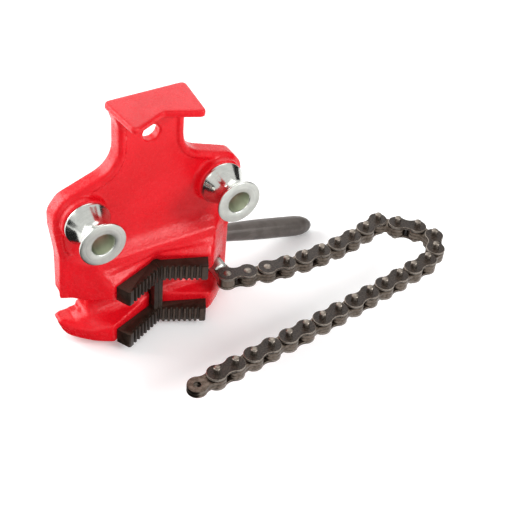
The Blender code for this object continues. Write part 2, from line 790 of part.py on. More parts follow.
def make_jaw_screw(name, centre):
    """A socket-head screw that holds one jaw bar from the back."""
    head_back = -SCREW_SINK
    head_front = head_back - SCREW_HEAD_TALL
    edge = SCREW_HEAD_RADIUS / 8
    item = turned(name, (
        (0, jaw_bite()),
        (JAW_SCREW_RADIUS - edge, jaw_bite()),
        (JAW_SCREW_RADIUS, jaw_bite() + edge),
        (JAW_SCREW_RADIUS, head_front),
        (SCREW_HEAD_RADIUS, head_front),
        (SCREW_HEAD_RADIUS, head_back - edge),
        (SCREW_HEAD_RADIUS - edge, head_back),
        (0, head_back),
    ), SMALL_SIDES)
    socket = rod("socket", SCREW_SOCKET_RADIUS, head_back - SCREW_SOCKET_DEPTH, OVERCUT, 6, along_y,
                 Vector((0, 0, 0)))
    combine(item, [socket], "DIFFERENCE")
    item.location = centre
    return item


def make_spool(name, side):
    """A bender spool: thin rims, a hollow waist, a bolt bore and a spigot in the casting."""
    front = SEAT_FRONT - GAP - SPOOL_LENGTH
    back = SEAT_FRONT - GAP
    profile = [(SPOOL_BORE, front + SPOOL_CHAMFER), (SPOOL_BORE + SPOOL_CHAMFER, front),
               (SPOOL_RADIUS - SPOOL_CHAMFER / 2, front), (SPOOL_RADIUS, front + SPOOL_CHAMFER / 2),
               (SPOOL_RADIUS, front + SPOOL_RIM)]
    hollow = SPOOL_RADIUS - SPOOL_WAIST
    span = SPOOL_LENGTH - SPOOL_RIM * 2
    for k in range(1, SPOOL_STEPS):
        share = k / SPOOL_STEPS
        waist = hollow * math.sin(math.pi * share ** SPOOL_SKEW)
        profile.append((SPOOL_RADIUS - waist, front + SPOOL_RIM + span * share))
    profile += [(SPOOL_RADIUS, back - SPOOL_RIM), (SPOOL_RADIUS, back), (SPIGOT_RADIUS, back),
                (SPIGOT_RADIUS, back + SPIGOT_LENGTH), (SPOOL_BORE, back + SPIGOT_LENGTH)]
    item = turned(name, profile, SPOOL_SIDES, along_y, True)
    item.location = (side * SPOOL_SPACING / 2, 0, 0)
    return item


def make_chain_screw():
    """The plated screw: a flat eye for the chain, a plain shank with a keyway, and a thread."""
    eye_y = -SCREW_EYE_REACH
    neck = eye_y + EYE_NECK
    profile = []
    for k in range(ROUND_STEPS + 2):
        angle = math.pi / 2 * k / (ROUND_STEPS + 1)
        profile.append((SCREW_RADIUS * math.sin(angle), neck + EYE_HALF_TALL * (0.5 - math.cos(angle))))
    profile.append((SCREW_RADIUS, THREAD_START - THREAD_LEAD / 2))
    turns = int((SCREW_END - THREAD_START) / THREAD_LEAD)
    for k in range(turns):
        start = THREAD_START + THREAD_LEAD * k
        profile.append((SCREW_RADIUS - THREAD_DEPTH, start))
        profile.append((SCREW_RADIUS, start + THREAD_LEAD / 2))
    last = THREAD_START + THREAD_LEAD * turns - THREAD_LEAD / 2
    profile += [(SCREW_RADIUS - THREAD_DEPTH, last + THREAD_DEPTH), (0, last + THREAD_DEPTH)]
    screw = turned("chain_screw", profile, SCREW_SIDES)
    corners = []
    for k in range(EYE_STEPS + 1):
        angle = math.pi + math.pi * k / EYE_STEPS
        corners.append(Vector((EYE_RADIUS * math.cos(angle), eye_y + EYE_RADIUS * math.sin(angle), 0)))
    corners.append(Vector((SCREW_RADIUS - THREAD_DEPTH, neck + EYE_HALF_TALL, 0)))
    corners.append(Vector((THREAD_DEPTH - SCREW_RADIUS, neck + EYE_HALF_TALL, 0)))
    lift = Vector((0, 0, EYE_HALF_TALL))
    eye = solid("eye", [[point - lift for point in corners], [point + lift for point in corners]])
    combine(screw, [eye], "UNION")
    hole = rod("hole", PIN_BORE, -SCREW_RADIUS, SCREW_RADIUS, SMALL_SIDES, along_z,
               Vector((0, eye_y, 0)))
    keyway = block("keyway",
                   Vector((-KEYWAY_HALF, -KEYWAY_FRONT, -SCREW_RADIUS - OVERCUT)),
                   Vector((KEYWAY_HALF, KEYWAY_BACK, -SCREW_RADIUS + KEYWAY_DEPTH)))
    stop = rod("stop", STOP_PIN_RADIUS + GAP, -SCREW_RADIUS * 2, SCREW_RADIUS * 2, SMALL_SIDES, along_z,
               Vector((0, stop_pin_y(), 0)))
    combine(screw, [hole, keyway, stop], "DIFFERENCE")
    screw.location = (SCREW_X, 0, CHAIN_Z)
    return screw


def stop_pin_y():
    """Where the stop pin crosses the screw's tail."""
    return SCREW_END - STOP_PIN_BACK


def make_washer():
    """The thrust washer between the casting and the handle nut."""
    inner = SCREW_RADIUS + GAP
    washer = turned("thrust_washer", (
        (inner, WASHER_FRONT),
        (WASHER_RADIUS, WASHER_FRONT),
        (WASHER_RADIUS, WASHER_FRONT + WASHER_THICK),
        (inner, WASHER_FRONT + WASHER_THICK),
    ), BORE_SIDES, along_y, True)
    washer.location = (SCREW_X, 0, CHAIN_Z)
    return washer


def make_handle_nut():
    """The forged nut and its club-shaped handle, one piece."""
    rear = HUB_FRONT + HUB_LENGTH
    hub = turned("handle_nut", (
        (0, HUB_FRONT),
        (HUB_RADIUS, HUB_FRONT),
        (HUB_RADIUS, rear - HUB_EDGE),
        (HUB_RADIUS - HUB_EDGE, rear),
        (0, rear),
    ), BORE_SIDES)
    start = HUB_RADIUS / 2
    taper = HANDLE_LENGTH - HANDLE_GRIP_RADIUS * 2 - start
    profile = [(0, start)]
    for k in range(HANDLE_STEPS + 1):
        share = k / HANDLE_STEPS
        swell = math.sin(math.pi / 2 * min(share / HANDLE_SWELL_SHARE, 1)) ** 2
        profile.append((HANDLE_NECK_RADIUS + (HANDLE_GRIP_RADIUS - HANDLE_NECK_RADIUS) * swell,
                        start + taper * share))
    for k in range(1, ROUND_STEPS + 2):
        angle = math.pi / 2 * k / (ROUND_STEPS + 1)
        radius = HANDLE_GRIP_RADIUS * math.cos(angle) if k <= ROUND_STEPS else 0
        profile.append((radius, start + taper + HANDLE_GRIP_RADIUS * 2 * math.sin(angle)))
    grip = turned("grip", profile, HANDLE_SIDES, along_x)
    grip.data.transform(Matrix.Translation((0, HANDLE_Y, 0)))
    combine(hub, [grip], "UNION")
    tapped = rod("tapped", SCREW_RADIUS + GAP, HUB_FRONT - OVERCUT, rear + OVERCUT, BORE_SIDES, along_y,
                 Vector((0, 0, 0)))
    combine(hub, [tapped], "DIFFERENCE")
    hub.location = (SCREW_X, 0, CHAIN_Z)
    hub.rotation_euler = (0, HANDLE_DROOP, 0)
    return hub


def link_outline(inset):
    """Figure-of-eight outline of a chain plate, its first pin at zero."""
    points = []
    radius = LINK_HALF_WIDE - inset
    sweep = math.pi + LINK_WAIST_ANGLE * 2
    for centre, side in ((PITCH, 1), (0, -1)):
        first = -side * math.pi / 2 - LINK_WAIST_ANGLE
        for k in range(LINK_STEPS + 1):
            angle = first + sweep * k / LINK_STEPS
            points.append((centre + radius * math.cos(angle), radius * math.sin(angle)))
        points.append((PITCH / 2, side * (LINK_WAIST - inset)))
    return points


def make_outer_link(name, first_short, second_short):
    """Two outer plates riveted on two pins."""
    link = None
    outline = link_outline(0)
    for side in (-1, 1):
        levels = (side * (PACK_HALF_TALL + GAP), side * PIN_HEAD)
        plate = solid(name, [[Vector((x, y, z)) for x, y in outline] for z in sorted(levels)])
        if link is None:
            link = plate
        else:
            other = plate
    tools = []
    for x, short in ((0, first_short), (PITCH, second_short)):
        reach = PIN_HEAD + (RIVET_REACH if short else PIN_REACH)
        tools.append(rod("pin", PIN_RADIUS, -reach, reach, SMALL_SIDES, along_z, Vector((x, 0, 0))))
    return combine(link, [tools[0], other, tools[1]], "UNION")


def make_leaf_pack(name):
    """The two inner leaves of one link, bored for two pins."""
    rings = []
    for level, inset in ((-PACK_HALF_TALL, 0), (-LEAF_GROOVE, 0), (0, LEAF_GROOVE), (LEAF_GROOVE, 0),
                         (PACK_HALF_TALL, 0)):
        rings.append([Vector((x, y, level)) for x, y in link_outline(inset)])
    pack = solid(name, rings)
    bores = [rod("bore", PIN_BORE, -PACK_HALF_TALL * 2, PACK_HALF_TALL * 2, SMALL_SIDES,
                 along_z, Vector((x, 0, 0))) for x in (0, PITCH)]
    return combine(pack, bores, "DIFFERENCE")


def chain_steps():
    """The turn at each pin, from the screw's eye to the chain's free end."""
    steps = [FIRST_HEADING] + [BOW_STEP] * (BOW_LINKS - 1) + list(TURN_STEPS)
    return steps + [RUN_BACK_STEP] * (LINK_COUNT - len(steps))


def make_chain(screw, outer_material, leaf_material):
    """Every link in turn, each one hung on the pin of the link before it."""
    smooth = math.radians(40)
    long_link = dress(make_outer_link("long_link", False, False), outer_material, smooth)
    short_link = dress(make_outer_link("short_link", True, True), outer_material, smooth)
    mixed_link = dress(make_outer_link("mixed_link", True, False), outer_material, smooth)
    pack = dress(make_leaf_pack("pack"), leaf_material, smooth)
    parent = screw
    offset = Vector((0, -SCREW_EYE_REACH, 0))
    for index, turn in enumerate(chain_steps()):
        number = index // 2 + 1
        if index % 2:
            name, shape = f"chain_leaf_pack_{number:02d}", pack
        else:
            shorts = SHORT_PINS - index
            shape = short_link if shorts > 1 else mixed_link if shorts == 1 else long_link
            name = f"chain_outer_link_{number:02d}"
        link = bpy.data.objects.new(name, shape.data.copy())
        bpy.context.scene.collection.objects.link(link)
        link.parent = parent
        link.location = offset
        link.rotation_euler = (0, 0, turn)
        parent = link
        offset = Vector((PITCH, 0, 0))
    for item in (long_link, short_link, mixed_link, pack):
        bpy.data.objects.remove(item, do_unlink=True)


def main():
    """Build every piece of the vise."""
    clear_scene()
    paint = finish_material("red_paint", RED_PAINT)
    zinc = finish_material("zinc_plate", ZINC_PLATE)
    jaw_black = finish_material("jaw_black_oxide", BLACK_OXIDE)
    link_steel = finish_material("chain_steel", CHAIN_STEEL)
    leaf_steel = finish_material("leaf_steel", LEAF_STEEL)
    forged = finish_material("forged_steel", FORGED_STEEL)
    screw_black = finish_material("black_screw", BLACK_SCREW)
    pin_steel = finish_material("pin_steel", ZINC_PLATE)
    smooth = math.radians(35)

    dress(make_casting(), paint, smooth)
    dress(make_jaw(-1, "jaw_left"), jaw_black, math.radians(15))
    dress(make_jaw(1, "jaw_right"), jaw_black, math.radians(15))
    names = ("jaw_screw_left_lower", "jaw_screw_left_upper", "jaw_screw_right_lower", "jaw_screw_right_upper")
    for name, centre in zip(names, jaw_screw_places()):
        dress(make_jaw_screw(name, centre), screw_black, smooth)
    dress(make_spool("bender_spool_left", -1), zinc, smooth)
    dress(make_spool("bender_spool_right", 1), zinc, smooth)

    screw = dress(make_chain_screw(), zinc, smooth)
    dress(make_washer(), zinc, smooth)
    dress(make_handle_nut(), forged, smooth)
    stop_pin = rod("stop_pin", STOP_PIN_RADIUS, -STOP_PIN_LENGTH / 2, STOP_PIN_LENGTH / 2, SMALL_SIDES,
                   along_z, Vector((0, 0, 0)))
    dress(stop_pin, pin_steel, smooth)
    stop_pin.parent = screw
    stop_pin.location = (0, stop_pin_y(), 0)
    guide_pin = rod("guide_pin", GUIDE_PIN_RADIUS, BASE_Z + GUIDE_PIN_SINK,
                    CHAIN_Z - SCREW_RADIUS + KEYWAY_DEPTH - GAP, SMALL_SIDES, along_z, Vector((0, 0, 0)))
    dress(guide_pin, pin_steel, smooth)
    guide_pin.location = (SCREW_X, PLATE_FRONT / 2, 0)
    make_chain(screw, link_steel, leaf_steel)


main()
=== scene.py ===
"""The looks of a bench chain pipe vise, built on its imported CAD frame.

The camera stands at the photograph's viewing angle, front left and above.
Cast, forged and turned pieces are rebuilt finer than the CAD solids that they stand for.
The vise's sizes and places are in millimetres. The camera, lamps, cards and floor are in metres.
"""

import math

import bmesh
import bpy
from mathutils import Matrix, Vector


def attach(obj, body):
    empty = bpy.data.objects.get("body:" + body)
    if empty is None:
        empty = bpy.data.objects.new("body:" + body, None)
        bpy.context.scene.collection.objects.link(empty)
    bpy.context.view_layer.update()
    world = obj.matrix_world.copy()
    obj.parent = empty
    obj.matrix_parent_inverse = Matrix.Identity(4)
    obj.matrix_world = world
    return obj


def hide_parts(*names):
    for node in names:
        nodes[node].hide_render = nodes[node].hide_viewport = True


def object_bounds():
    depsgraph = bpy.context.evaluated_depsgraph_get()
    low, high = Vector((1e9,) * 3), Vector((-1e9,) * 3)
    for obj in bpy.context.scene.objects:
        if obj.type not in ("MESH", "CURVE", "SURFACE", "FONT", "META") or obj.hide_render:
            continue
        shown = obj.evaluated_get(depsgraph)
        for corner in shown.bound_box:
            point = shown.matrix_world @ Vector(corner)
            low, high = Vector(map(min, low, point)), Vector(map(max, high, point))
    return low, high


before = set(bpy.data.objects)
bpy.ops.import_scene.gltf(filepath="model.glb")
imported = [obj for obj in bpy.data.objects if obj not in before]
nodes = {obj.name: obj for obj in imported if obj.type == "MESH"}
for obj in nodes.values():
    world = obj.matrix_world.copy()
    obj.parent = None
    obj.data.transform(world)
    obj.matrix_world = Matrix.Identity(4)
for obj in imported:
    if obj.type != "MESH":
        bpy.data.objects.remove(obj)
cad_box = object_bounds()
scene = bpy.context.scene

MM = 0.001

# Where the bolts and the chain screw run, along Y, and where the chain's first pin stands.
BOLT_X = 52.0
SCREW_X = 52.0
CHAIN_Z = -78.0
EYE_Y = -37.5

# The casting is remeshed evenly and smoothed, and more so in three stretches.
# Each pair is where a share starts to change and where it has changed.
CAST_VOXEL = 0.9
CAST_PASSES = 5
HOLLOW_PASSES = 1000
HOLLOW_FOOT = (-36.0, -32.0)
HOLLOW_TOP = (-4.0, 22.0)
HOLLOW_FRONT = (-10.5, -8.0)
HOLLOW_SIDES = (56.0, 60.0)
HOLLOW_BOLT = (20.0, 28.0)
CREST_PASSES = 10
CREST_FOOT = (-52.5, -48.0)
CREST_TOP = (-35.0, -31.0)
CREST_FRONT = (-12.5, -9.5)
FLANK_PASSES = 90
FLANK_SIDES = (38.5, 42.0)
FLANK_FRONT = (-12.5, -10.0)
FLANK_TOP = (-50.0, -46.0)
SEAT_BOLT = (12.0, 14.0)
SEAT_LEAST = 0.15
SCREW_BORE = (7.0, 9.0)
SCREW_BORE_LEAST = 0.1

# The forged handle is remeshed finer than the casting, and smoothed all over.
HANDLE_VOXEL = 0.7
HANDLE_PASSES = 10

# Bevels on machined pieces, along edges that turn by more than BEVEL_FROM_ANGLE degrees.
# Points nearer than SAME_PLACE are merged first.
JAW_BEVEL = 0.22
SCREW_BEVEL = 0.12
PIN_BEVEL = 0.15
WASHER_BEVEL = 0.2
BEVEL_FROM_ANGLE = 28
SAME_PLACE = 0.002

# Bender spools. The waist's power puts its narrowest place in front of the middle.
SPOOL_FRONT = -45.7
SPOOL_BACK = -20.3
SPOOL_RADIUS = 16.7
SPOOL_WAIST = 11.2
SPOOL_BORE = 8.3
SPOOL_RIM = 2.0
SPOOL_EDGE = 0.5
SPOOL_SIDES = 96
SPOOL_STEPS = 30
WAIST_POWER = 0.75
GROOVE_RADIUS = 13.0
GROOVE_HALF = 0.25
GROOVE_DEPTH = 0.08
SPIGOT_RADIUS = 11.0
SPIGOT_LENGTH = 9.5

# Chain. Angles are in degrees. FIRST_TURNS says how far each of the first links turns from the one before,
# and every later link turns by LAST_TURN.
PITCH = 15.875
LINKS = 28
FIRST_TURNS = [-14.0] + [3.8] * 8 + [-57.6, -1.4, -27.3, -53.8, -27.5, -18.7]
LAST_TURN = -0.3
PLATE_HALF_WIDE = 7.4
PLATE_WAIST = 5.2
PLATE_LEAN = 20
PLATE_END_STEPS = 14
PLATE_WAIST_STEPS = 8
LEDGE = 0.45
OUTER_INSIDE = 3.3
OUTER_REACH = 5.3
OUTER_EDGE = 0.42
LEAF_INSIDE = 0.06
LEAF_REACH = 2.95
LEAF_EDGE = 0.30
HOLE_RADIUS = 2.56
HOLE_SIDES = 24
HOLE_EDGE_SHARE = 0.6
PIN_RADIUS = 2.5
PIN_SIDES = 28
SHORT_PIN_REACH = 5.8
LONG_PIN_REACH = 10.35
SHORT_PINS = 3

# Pin ends, as radius and drop from the end, and the radius of a rivet head's foot.
RIVET_DOME = ((0.0, 0.0), (1.2, 0.05), (2.1, 0.2), (2.75, 0.42))
RIVET_RADIUS = 2.9
PIN_CHAMFER = ((0.0, 0.0), (1.7, 0.0), (2.15, 0.12), (PIN_RADIUS, 0.5))

# Painted shade: the flat eye of the chain screw takes the chain leaves' dark brown up to this far behind the
# first pin, where it sits in shade between the first link's plates.
EYE_PAINTED_SHADE_REACH = 8.0

# Camera. Lens and film are in millimetres, angles in degrees and the rest in metres.
CAMERA_PLACE = (-0.2959, -0.5704, 0.4935)
CAMERA_AZIMUTH = -35.54
CAMERA_ELEVATION = 41.05
CAMERA_ROLL = 6.07
CAMERA_LENS = 77.92
CAMERA_FILM = 36.0
CAMERA_NEAR = 0.05
CAMERA_FAR = 20.0

# Floor and world: half the floor's side and how far it lies below the vise, in metres, then strengths.
FLOOR_HALF = 4.0
FLOOR_DROP = 0.0002
FLOOR_GLOW = 0.13
WORLD_LIGHT = 0.65
WORLD_SHOWN = 1.0

# Dark cards, in metres: how low and high two stand, and how far above the vise's lowest point one lies.
CARD_LOW = -0.11
CARD_RIGHT_TOP = 0.42
CARD_LEFT_TOP = 0.22
CARD_LIFT = 0.001


# Shader helpers.

def shader(name):
    """A new material, its node tree and its Principled shader."""
    material = bpy.data.materials.new(name)
    material.use_nodes = True
    tree = material.node_tree
    return material, tree, tree.nodes["Principled BSDF"]


def add(tree, kind, **settings):
    """A node with its properties set."""
    node = tree.nodes.new(kind)
    for key, value in settings.items():
        setattr(node, key, value)
    return node


def place(tree):
    """Object coordinates in millimetres."""
    where = add(tree, "ShaderNodeTexCoord")
    scale = add(tree, "ShaderNodeVectorMath", operation="SCALE")
    scale.inputs["Scale"].default_value = 1 / MM
    tree.links.new(where.outputs["Object"], scale.inputs[0])
    return scale.outputs["Vector"]


def noise(tree, vector, size, detail=2.0, rough=0.5):
    """Noise whose blotches are about size across, in the units of the vector."""
    node = add(tree, "ShaderNodeTexNoise")
    node.inputs["Scale"].default_value = 1 / size
    node.inputs["Detail"].default_value = detail
    node.inputs["Roughness"].default_value = rough
    tree.links.new(vector, node.inputs["Vector"])
    return node.outputs["Fac"]


def span(tree, value, low, high, out_low, out_high, smooth=True):
    """A value carried from one range to another, held at its ends."""
    node = add(tree, "ShaderNodeMapRange", clamp=True)
    if smooth:
        node.interpolation_type = "SMOOTHSTEP"
    for key, number in zip(("From Min", "From Max", "To Min", "To Max"), (low, high, out_low, out_high)):
        node.inputs[key].default_value = number
    tree.links.new(value, node.inputs["Value"])
    return node.outputs["Result"]


def put(tree, socket, value):
    """Link a socket to another, or give it a plain value."""
    if isinstance(value, bpy.types.NodeSocket):
        tree.links.new(value, socket)
    else:
        socket.default_value = value


def opaque(colour):
    """A colour with full alpha. A socket stays as it is."""
    return colour if isinstance(colour, bpy.types.NodeSocket) else (*colour, 1.0)


def blend_colour(tree, share, first, second):
    """Two colours mixed by a share. Each can be a socket."""
    node = add(tree, "ShaderNodeMix", data_type="RGBA")
    put(tree, node.inputs["Factor"], share)
    put(tree, node.inputs[6], opaque(first))
    put(tree, node.inputs[7], opaque(second))
    return node.outputs[2]


def maths(tree, operation, first, second=None):
    """One arithmetic step."""
    node = add(tree, "ShaderNodeMath", operation=operation)
    put(tree, node.inputs[0], first)
    if second is not None:
        put(tree, node.inputs[1], second)
    return node.outputs[0]


def bump(tree, height, depth, normal=None):
    """A bump of a depth in millimetres."""
    node = add(tree, "ShaderNodeBump")
    node.inputs["Distance"].default_value = depth * MM
    node.inputs["Strength"].default_value = 1.0
    tree.links.new(height, node.inputs["Height"])
    if normal is not None:
        tree.links.new(normal, node.inputs["Normal"])
    return node.outputs["Normal"]


def edges(tree, low, high):
    """How much a point stands on an outer edge, from 0 to 1."""
    shape = add(tree, "ShaderNodeNewGeometry")
    return span(tree, shape.outputs["Pointiness"], low, high, 0.0, 1.0)


def finish(tree, surface, colour, roughness, metallic, gloss, normal=None):
    """Wire colour, roughness and normal, and set the plain values."""
    put(tree, surface.inputs["Base Color"], opaque(colour))
    put(tree, surface.inputs["Roughness"], roughness)
    if normal is not None:
        tree.links.new(normal, surface.inputs["Normal"])
    surface.inputs["Metallic"].default_value = metallic
    surface.inputs["Specular IOR Level"].default_value = gloss


def axis_radius(tree, vector, centres):
    """Distance in millimetres from the nearest of the axes that run along Y, and the place along Y."""
    parts = add(tree, "ShaderNodeSeparateXYZ")
    tree.links.new(vector, parts.inputs[0])
    nearest = None
    for x, z in centres:
        across = maths(tree, "SUBTRACT", parts.outputs["X"], x)
        up = maths(tree, "SUBTRACT", parts.outputs["Z"], z)
        square = maths(tree, "ADD", maths(tree, "MULTIPLY", across, across), maths(tree, "MULTIPLY", up, up))
        radius = maths(tree, "SQRT", square)
        nearest = radius if nearest is None else maths(tree, "MINIMUM", nearest, radius)
    return nearest, parts.outputs["Y"]


# Materials. Noise sizes and bump depths are in millimetres.

def red_enamel():
    """Thick red enamel over a sand-cast surface, with a painted highlight of paler red along its outer
    edges.
    """
    material, tree, surface = shader("red_enamel")
    where = place(tree)
    broad = noise(tree, where, 26.0, 3.0)
    peel = noise(tree, where, 3.4, 2.0)
    grain = noise(tree, where, 1.1, 2.0, 0.6)
    tone = span(tree, broad, 0.35, 0.65, 0.0, 1.0)
    colour = blend_colour(tree, tone, (0.66, 0.003, 0.009), (0.73, 0.006, 0.014))
    colour = blend_colour(tree, span(tree, grain, 0.25, 0.75, 0.30, 0.0), colour, (0.40, 0.002, 0.005))
    # Painted highlight: points on outer edges are mixed towards a paler pinkish red.
    colour = blend_colour(tree, edges(tree, 0.525, 0.575), colour, (0.84, 0.060, 0.063))
    rough = span(tree, peel, 0.3, 0.7, 0.19, 0.32, False)
    height = maths(tree, "ADD", maths(tree, "MULTIPLY", peel, 0.30), maths(tree, "MULTIPLY", grain, 0.70))
    normal = bump(tree, height, 0.27, bump(tree, broad, 0.4))
    finish(tree, surface, colour, rough, metallic=0.0, gloss=0.36, normal=normal)
    surface.inputs["Specular Tint"].default_value = (1.0, 0.62, 0.62, 1.0)
    return material


def zinc(name, centres, face, bore=0.0):
    """Bright zinc on turned steel: fine tool rings, faint bloom, a satin face and a pale yellow-grey bore,
    its yellow the plating's own and its paleness painted light in the hollow.
    """
    material, tree, surface = shader(name)
    where = place(tree)
    radius, along = axis_radius(tree, where, centres)
    turned = add(tree, "ShaderNodeCombineXYZ")
    tree.links.new(radius, turned.inputs[0])
    tree.links.new(along, turned.inputs[1])
    rings = noise(tree, turned.outputs[0], 0.55, 2.0)
    bands = noise(tree, turned.outputs[0], 1.3, 2.0)
    bloom = noise(tree, where, 4.0, 3.0)
    tone = span(tree, bloom, 0.3, 0.7, 0.0, 1.0)
    colour = blend_colour(tree, tone, (0.53, 0.54, 0.51), (0.60, 0.61, 0.57))
    colour = blend_colour(tree, span(tree, bands, 0.4, 0.65, 0.0, 0.2), colour, (0.43, 0.44, 0.40))
    rough = span(tree, bloom, 0.3, 0.7, 0.15, 0.22, False)
    satin = span(tree, along, face + 0.2, face + 0.6, 0.22, 0.0)
    rough = maths(tree, "ADD", rough, satin)
    if bore:
        inside = span(tree, radius, bore - 0.1, bore + 0.25, 1.0, 0.0)
        # The bore is painted pale: the yellow is the plating's tint, the paleness is painted light reaching
        # into the bore.
        colour = blend_colour(tree, inside, colour, (0.76, 0.79, 0.68))
        rough = maths(tree, "ADD", rough, maths(tree, "MULTIPLY", inside, 0.16))
    finish(tree, surface, colour, rough, metallic=1.0, gloss=0.5, normal=bump(tree, rings, 0.0015))
    return material


def dark_steel(name, low, high, edge_colour_wear_and_highlight, size, depth, roughness, metallic, edge_span_wear_and_highlight=(0.53, 0.62), gloss=0.5):
    """Dark steel: two tones in blotches of a size, lighter on its edges, which is wear on most of these
    steels and a painted highlight on the chain plates.
    """
    material, tree, surface = shader(name)
    where = place(tree)
    patch = noise(tree, where, size, 3.0)
    fine = noise(tree, where, size / 7, 3.0, 0.6)
    colour = blend_colour(tree, span(tree, patch, 0.35, 0.65, 0.0, 1.0), low, high)
    edge_mix_wear_and_highlight = maths(tree, "MULTIPLY", edges(tree, *edge_span_wear_and_highlight), span(tree, fine, 0.3, 0.6, 0.35, 1.0))
    colour = blend_colour(tree, edge_mix_wear_and_highlight, colour, edge_colour_wear_and_highlight)
    rough = span(tree, fine, 0.3, 0.7, roughness - 0.07, roughness + 0.08, False)
    finish(tree, surface, colour, rough, metallic, gloss, bump(tree, fine, depth))
    return material


red = red_enamel()
spool_zinc = zinc("turned_zinc", ((-BOLT_X, 0.0), (BOLT_X, 0.0)), SPOOL_FRONT, SPOOL_BORE)
screw_zinc = zinc("screw_zinc", ((SCREW_X, CHAIN_Z),), -20.0)
jaw_brown = dark_steel(
    "jaw_black_oxide_worn", (0.016, 0.009, 0.006), (0.028, 0.017, 0.012), (0.060, 0.040, 0.030),
    size=5.0, depth=0.05, roughness=0.32, metallic=0.0, edge_span_wear_and_highlight=(0.58, 0.72), gloss=0.22)
# Chain plates: the pale grey-brown on their edges is a painted highlight, not wear.
plate_dark = dark_steel(
    "chain_plate_dark", (0.018, 0.012, 0.009), (0.050, 0.037, 0.028), (0.42, 0.37, 0.32),
    size=1.3, depth=0.08, roughness=0.34, metallic=0.0, edge_span_wear_and_highlight=(0.53, 0.60), gloss=0.24)
# The plates' rounded rims: bare bright steel, its light colour also a painted highlight along the rim.
rim_bare_steel_and_highlight = dark_steel(
    "chain_plate_rim", (0.17, 0.14, 0.115), (0.30, 0.26, 0.22), (0.46, 0.41, 0.36),
    size=1.6, depth=0.02, roughness=0.26, metallic=1.0)
leaf_brown = dark_steel(
    "chain_leaf_brown", (0.085, 0.066, 0.051), (0.150, 0.122, 0.099), (0.20, 0.165, 0.135),
    size=2.6, depth=0.02, roughness=0.32, metallic=1.0)
pin_bright = dark_steel(
    "chain_pin_steel", (0.17, 0.145, 0.120), (0.27, 0.235, 0.200), (0.38, 0.34, 0.30),
    size=1.6, depth=0.015, roughness=0.36, metallic=1.0)
forged = dark_steel(
    "forged_handle", (0.072, 0.060, 0.053), (0.102, 0.087, 0.077), (0.15, 0.130, 0.115),
    size=9.0, depth=0.05, roughness=0.38, metallic=0.25)
screw_black = dark_steel(
    "screw_black", (0.022, 0.022, 0.024), (0.034, 0.034, 0.036), (0.10, 0.10, 0.10),
    size=2.0, depth=0.02, roughness=0.36, metallic=0.6)


# Mesh helpers. Points are in millimetres until a piece is made.

def make_piece(name, bm, materials, body, stands_for, smooth=40.0):
    """A piece from a bmesh in millimetres, riding on a body in place of CAD nodes."""
    bmesh.ops.recalc_face_normals(bm, faces=bm.faces)
    bm.transform(Matrix.Scale(MM, 4))
    mesh = bpy.data.meshes.new(name)
    limit = math.radians(smooth)
    for face in bm.faces:
        face.smooth = True
    for edge in bm.edges:
        edge.smooth = edge.calc_face_angle(0) < limit
    bm.to_mesh(mesh)
    bm.free()
    piece = bpy.data.objects.new(name, mesh)
    scene.collection.objects.link(piece)
    for material in materials:
        mesh.materials.append(material)
    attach(piece, body)
    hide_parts(*stands_for)
    return piece


def circle(radius, sides):
    """Points round a circle."""
    return [(radius * math.cos(2 * math.pi * k / sides), radius * math.sin(2 * math.pi * k / sides))
            for k in range(sides)]


def lathe(bm, profile, sides, point, closed=False, material=0):
    """Turn (radius, along) points round an axis. point gives the place of (across, up, along)."""
    rings = []
    for radius, along in profile:
        around = circle(radius, sides) if radius else [(0, 0)]
        rings.append([bm.verts.new(point(across, up, along)) for across, up in around])
    pairs = list(zip(rings, rings[1:]))
    if closed:
        pairs.append((rings[-1], rings[0]))
    for low, high in pairs:
        for k in range(sides):
            j = (k + 1) % sides
            if len(low) == 1:
                corners = (low[0], high[j], high[k])
            elif len(high) == 1:
                corners = (low[k], low[j], high[0])
            else:
                corners = (low[k], low[j], high[j], high[k])
            bm.faces.new(corners).material_index = material


def bevelled_copy(name, node, width, material, body, segments=2, smooth=50.0, planar=0.5):
    """A finer stand-in for a CAD node: the same solid with its sharp edges bevelled."""
    bm = bmesh.new()
    bm.from_mesh(nodes[node].data)
    bmesh.ops.remove_doubles(bm, verts=bm.verts, dist=SAME_PLACE * MM)
    bm.transform(Matrix.Scale(1 / MM, 4))
    bmesh.ops.dissolve_limit(bm, angle_limit=math.radians(planar), verts=bm.verts, edges=bm.edges)
    sharp = [edge for edge in bm.edges if edge.calc_face_angle(0) > math.radians(BEVEL_FROM_ANGLE)]
    bmesh.ops.bevel(bm, geom=sharp, offset=width, segments=segments, profile=0.5, affect="EDGES",
                    clamp_overlap=True)
    return make_piece(name, bm, [material], body, [node], smooth)


def applied(obj):
    """The mesh that an object's modifiers give. The modifiers are cleared."""
    graph = bpy.context.evaluated_depsgraph_get()
    mesh = bpy.data.meshes.new_from_object(obj.evaluated_get(graph))
    obj.modifiers.clear()
    return mesh


def add_smoothing(obj, name, passes, weight):
    """Smoothing, as strong at each point as weight says. weight takes the point in millimetres."""
    group = obj.vertex_groups.new(name=name)
    for vertex in obj.data.vertices:
        share = weight(vertex.co / MM)
        if share > 0:
            group.add([vertex.index], share, "REPLACE")
    soften = obj.modifiers.new(name, "SMOOTH")
    soften.factor = 0.5
    soften.iterations = passes
    soften.vertex_group = name


